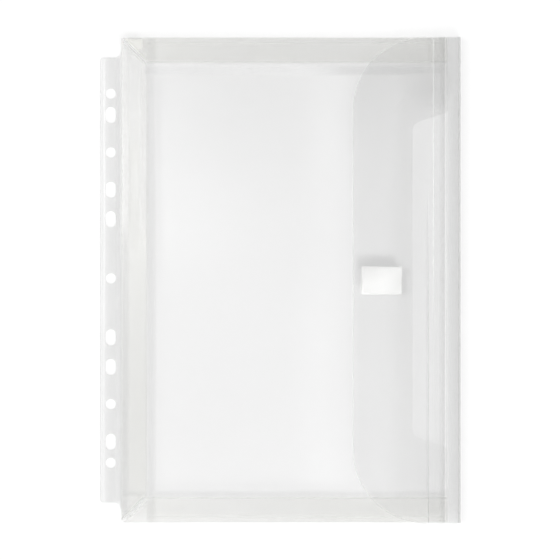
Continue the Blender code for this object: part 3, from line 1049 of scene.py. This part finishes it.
def softbox(name, place, size, power, mirrored=True):
    """A rectangular lamp that faces the object, mirrored in its gloss or not."""
    lamp = bpy.data.lights.new(name, "AREA")
    lamp.shape = "RECTANGLE"
    lamp.size, lamp.size_y = size
    lamp.energy = power
    item = bpy.data.objects.new(name, lamp)
    bpy.context.scene.collection.objects.link(item)
    item.visible_glossy = mirrored
    item.location = place
    item.rotation_euler = (-item.location).to_track_quat("-Z", "Y").to_euler()


def studio():
    """Floor, light and a camera straight above, framed as the photograph is."""
    form = bmesh.new()
    bmesh.ops.create_grid(form, x_segments=1, y_segments=1, size=FLOOR_HALF)
    bmesh.ops.translate(form, vec=(0.0, 0.0, -FLOOR_DROP), verts=form.verts)
    floor = shown_mesh("floor", form, floor_material())

    scene = bpy.context.scene
    scene.world = tent()
    softbox("softbox", SOFTBOX_PLACE, SOFTBOX_SIZE, SOFTBOX_POWER, mirrored=False)
    softbox("fill", FILL_PLACE, FILL_SIZE, FILL_POWER, mirrored=False)
    softbox("side_panel", SIDE_PANEL_PLACE, SIDE_PANEL_SIZE, SIDE_PANEL_POWER)

    lens = bpy.data.cameras.new("camera")
    lens.lens = LENS
    lens.sensor_width = SENSOR
    camera = bpy.data.objects.new("camera", lens)
    scene.collection.objects.link(camera)
    camera.location = (0.0, 0.0, FRAME_WIDTH * LENS / SENSOR)
    scene.camera = camera
    scene.view_settings.view_transform = "Standard"
    scene.cycles.transparent_max_bounces = CLEAR_BOUNCES


def film_materials():
    """Every film of the wallet, by what it is used for."""
    return {
        "body": film_material("clear_film", CLEAR_TONE, haze=0.009),
        "front": film_material("front_clear_film", CLEAR_TONE, haze=0.009, painted_places=FRONT_PAINTED_SHADE),
        "flap": film_material("flap_clear_film", CLEAR_TONE, haze=0.012, painted_places=FLAP_PAINTED_SHADE),
        "spine": film_material("spine_clear_film", CLEAR_TONE, haze=0.012, painted_places=SPINE_PAINTED_SHADE),
        "gusset": film_material("gusset_clear_film", GUSSET_TONE, haze=0.014),
        "left front leg": film_material("left_front_leg_film", GUSSET_TONE, haze=0.014, painted_places=LEG_PAINTED_HIGHLIGHTS,
                                        painted_tone=PAINTED_HIGHLIGHT_TONE),
        "left back leg": film_material("left_back_leg_film", GUSSET_TONE, haze=0.014, painted_places=LEG_PAINTED_SHADE),
        "binding": film_material("binding_clear_film", (0.54, 0.55, 0.54), haze=0.045, painted_places=STRIP_PAINTED_SHADE),
        # The spine crease at the right edge: dark grey haze, painted shade
        "pressed crease": film_material("pressed_crease_film", (0.42, 0.425, 0.41), haze=0.20),
        # The first crease: darker grey as painted shade, with a painted highlight on its upper half
        "whitened crease": film_material("whitened_crease_film", CREASE_SHADE_TONE, haze=0.04,
                                         painted_places=UPPER_HALF_PAINTED_HIGHLIGHT, painted_tone=PAINTED_HIGHLIGHT_TONE,
                                         gloss=QUIET_GLOSS),
        # The second crease and the flex line: darker grey as painted shade, darker on their lower half
        "greyed crease": film_material("greyed_crease_film", CREASE_SHADE_TONE, haze=0.04, painted_places=LOWER_HALF_PAINTED_SHADE),
        # The ridges are nearly white: painted highlights along the mitres, the inner folds and the score
        "ridge": film_material("ridge_film", (0.96, 0.965, 0.94), haze=0.08, gloss=QUIET_GLOSS,
                               skin_depth=SMOOTH_SKIN),
        # The pleat is pale: a painted highlight on the bellows' folded corner
        "pleat": film_material("pleat_film", (0.97, 0.97, 0.93), haze=0.45, gloss=QUIET_GLOSS),
        "weld": film_material("welded_film", CLEAR_TONE, haze=0.035),
        "end weld": film_material("end_weld_film", (0.90, 0.91, 0.87), haze=0.06, gloss=QUIET_GLOSS),
        # The flap's cut edge is nearly white: a painted highlight along it
        "cut edge": film_material("cut_film_edge", (0.95, 0.955, 0.94), haze=0.22, gloss=QUIET_GLOSS,
                                  roughness=EDGE_ROUGHNESS),
        # The binding strip's cut edge is dark grey: painted shade along it
        "punched edge": film_material("punched_film_edge", (0.40, 0.405, 0.395), haze=0.08),
        "glue": film_material("clear_adhesive", (0.96, 0.96, 0.94), haze=0.04, gloss=GLUE_GLOSS,
                              roughness=GLUE_ROUGHNESS),
    }


def flat_leaves(films):
    """The CAD nodes that are shown as they are."""
    carry_over(("back_panel",), films["body"])
    carry_over(("flap_edge", "flap_crease_strip"), films["spine"])
    carry_over(("hook_adhesive", "loop_adhesive"), films["glue"])
    carry_over([f"gusset_{side}_{leg}" for side in ("top", "bottom") for leg in ("back", "front")],
               films["gusset"])
    carry_over(("gusset_left_front",), films["left front leg"])
    carry_over(("gusset_left_back",), films["left back leg"])


def build():
    """The whole wallet and its studio."""
    films = film_materials()
    flat_leaves(films)
    film_leaves(films["front"], films["flap"], films["spine"], films["binding"])
    bellows(films["gusset"])
    creases(films["body"], films["pressed crease"], films["whitened crease"], films["greyed crease"])
    cut_edges(films["cut edge"])
    strip_edges(films["weld"], films["punched edge"])
    mitre_ridges(films["ridge"])
    fold_ridges(films["ridge"])
    corner_pleat(films["pleat"])
    score_ridge(films["ridge"])
    welds(films["weld"], films["end weld"])
    hook_tape(tape_material("hook_tape", HOOK_TONE))
    loop_tape(tape_material("loop_tape", LOOP_TONE))
    studio()


build()
